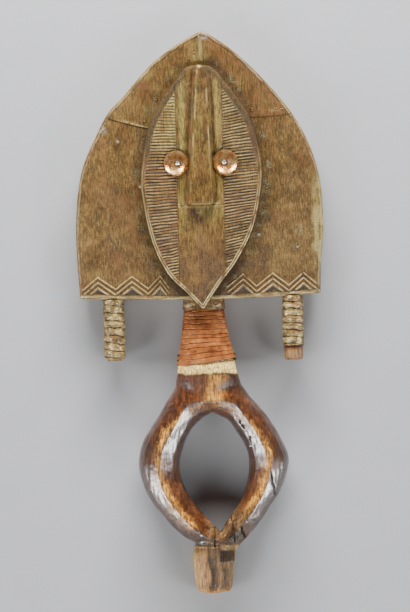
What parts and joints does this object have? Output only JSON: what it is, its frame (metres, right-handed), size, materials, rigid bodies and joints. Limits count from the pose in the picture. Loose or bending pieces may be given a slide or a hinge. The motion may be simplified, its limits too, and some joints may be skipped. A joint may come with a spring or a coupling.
{
  "type": "kota reliquary figure",
  "caption": "Carved wooden guardian figure lying on its back: pointed board with a hollowed mask face under nailed brass and copper sheet, bound neck, side pegs and open lozenge foot.",
  "frame": {"origin": "centre of the bounding box in plan, at the height of the surface it lies on", "axes": "+X across the face to the right of the picture, +Y from the foot to the crown, +Z out of the face, upwards as it lies on its back"},
  "size_m": [0.2462, 0.56, 0.035],
  "materials": {
    "carved_wood": "dark hand-worn patina",
    "olive_brass": "dull brown patina",
    "red_brass": "dull red-brown patina",
    "face_brass": "hatched, worn bright",
    "polished_copper": "worn copper",
    "copper_strip": "copper strip",
    "brass_strip": "crumpled brass strip",
    "nail_steel": "dull"
  },
  "bodies": {
    "root": {"wood_core": "carved_wood", "crest_sheet_left": "red_brass", "crest_sheet_right": "red_brass", "side_sheet_left": "olive_brass", "side_sheet_right": "olive_brass", "cheek_sheet_left": "face_brass", "cheek_sheet_right": "face_brass", "forehead_nose_sheet": "face_brass", "chin_sheet": "face_brass", "eye_boss_left": "polished_copper", "eye_boss_right": "polished_copper", "eye_nail_left": "nail_steel", "eye_nail_right": "nail_steel", "tack_left_seam_outer": "nail_steel", "tack_left_seam_middle": "nail_steel", "tack_left_seam_inner": "nail_steel", "tack_left_valley": "nail_steel", "tack_crest_left": "nail_steel", "tack_crest_middle": "nail_steel", "tack_right_seam_outer": "nail_steel", "tack_right_seam_middle": "nail_steel", "tack_right_seam_inner": "nail_steel", "tack_right_side": "nail_steel", "tack_mouth_seam": "nail_steel", "neck_sheet": "olive_brass", "neck_winding": "copper_strip", "peg_winding_left": "brass_strip", "peg_winding_right": "brass_strip"}
  },
  "joints": []
}
